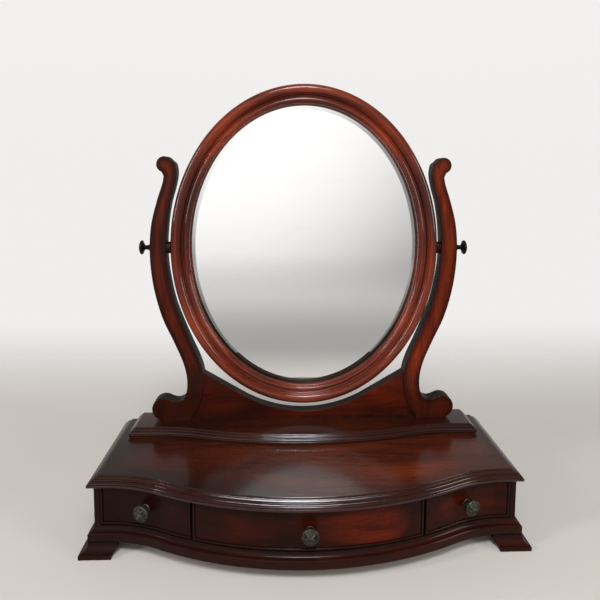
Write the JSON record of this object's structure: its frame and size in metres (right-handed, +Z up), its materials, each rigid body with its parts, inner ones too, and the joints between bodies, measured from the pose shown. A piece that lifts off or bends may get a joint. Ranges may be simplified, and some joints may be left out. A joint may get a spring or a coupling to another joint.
{
  "type": "table-top dressing mirror with drawers",
  "caption": "Oval bevelled mirror on two scrolled posts above a serpentine-front mahogany case with small drawers, round knobs, moulded edges and flared bracket feet.",
  "frame": {"origin": "on the resting plane under the feet, at the middle of the bounding box in plan", "axes": "+Z up, +X to the right of someone facing the drawers, +Y from the drawers towards the back"},
  "size_m": [0.548, 0.2186, 0.5814],
  "materials": {
    "mahogany": "dark red-brown stain under gloss lacquer",
    "backing_board": "stained board, matt",
    "drawer_wood": "pale hardwood, thin seal coat",
    "mirror": "silvered, with a polished bevel",
    "bronze": "dark oil-rubbed bronze",
    "pewter": "antique pewter, worn on its high spots",
    "steel": "zinc plated"
  },
  "bodies": {
    "case": {"top_board": "mahogany", "mirror_step": "mahogany", "left_side_panel": "mahogany", "right_side_panel": "mahogany", "back_panel": "backing_board", "bottom_board": "backing_board", "left_partition": "mahogany", "right_partition": "mahogany", "front_base_moulding": "mahogany", "left_base_moulding": "mahogany", "right_base_moulding": "mahogany", "rear_base_rail": "mahogany", "front_left_foot": "mahogany", "front_right_foot": "mahogany", "rear_left_foot": "mahogany", "rear_right_foot": "mahogany", "left_post": "mahogany", "right_post": "mahogany", "stretcher": "mahogany", "post_screws": "steel", "step_screws": "steel", "foot_screws": "steel", "back_panel_screws": "steel", "bottom_board_screws": "steel"},
    "mirror": {"mirror_frame": "mahogany", "mirror_glass": "mirror", "mirror_backing": "backing_board", "backing_screws": "steel", "left_pivot_insert": "steel", "right_pivot_insert": "steel", "left_spacer": "bronze", "right_spacer": "bronze"},
    "left_thumb": {"left_thumb_screw": "bronze"},
    "right_thumb": {"right_thumb_screw": "bronze"},
    "left_drawer": {"left_drawer_front": "mahogany", "left_drawer_bead": "mahogany", "left_drawer_outer_side": "drawer_wood", "left_drawer_inner_side": "drawer_wood", "left_drawer_back": "drawer_wood", "left_drawer_bottom": "drawer_wood", "left_drawer_knob": "pewter", "left_knob_screw": "steel"},
    "centre_drawer": {"centre_drawer_front": "mahogany", "centre_drawer_bead": "mahogany", "centre_drawer_left_side": "drawer_wood", "centre_drawer_right_side": "drawer_wood", "centre_drawer_back": "drawer_wood", "centre_drawer_bottom": "drawer_wood", "centre_drawer_knob": "pewter", "centre_knob_screw": "steel"},
    "right_drawer": {"right_drawer_front": "mahogany", "right_drawer_bead": "mahogany", "right_drawer_outer_side": "drawer_wood", "right_drawer_inner_side": "drawer_wood", "right_drawer_back": "drawer_wood", "right_drawer_bottom": "drawer_wood", "right_drawer_knob": "pewter", "right_knob_screw": "steel"}
  },
  "joints": [
    {"name": "mirror_tilt", "type": "hinge", "parent": "case", "child": "mirror", "pos_m": [0, 0.08725, 0.3555], "axis": [1, 0, 0], "continuous": true},
    {"name": "left_thumb_turn", "type": "hinge", "parent": "mirror", "child": "left_thumb", "pos_m": [-0.22, 0.08725, 0.3555], "axis": [-1, 0, 0], "range_deg": [0, 720]},
    {"name": "right_thumb_turn", "type": "hinge", "parent": "mirror", "child": "right_thumb", "pos_m": [0.22, 0.08725, 0.3555], "axis": [1, 0, 0], "range_deg": [0, 720]},
    {"name": "left_drawer_slide", "type": "slide", "parent": "case", "child": "left_drawer", "axis": [0, -1, 0], "range_m": [0, 0.11]},
    {"name": "centre_drawer_slide", "type": "slide", "parent": "case", "child": "centre_drawer", "axis": [0, -1, 0], "range_m": [0, 0.12]},
    {"name": "right_drawer_slide", "type": "slide", "parent": "case", "child": "right_drawer", "axis": [0, -1, 0], "range_m": [0, 0.11]}
  ]
}
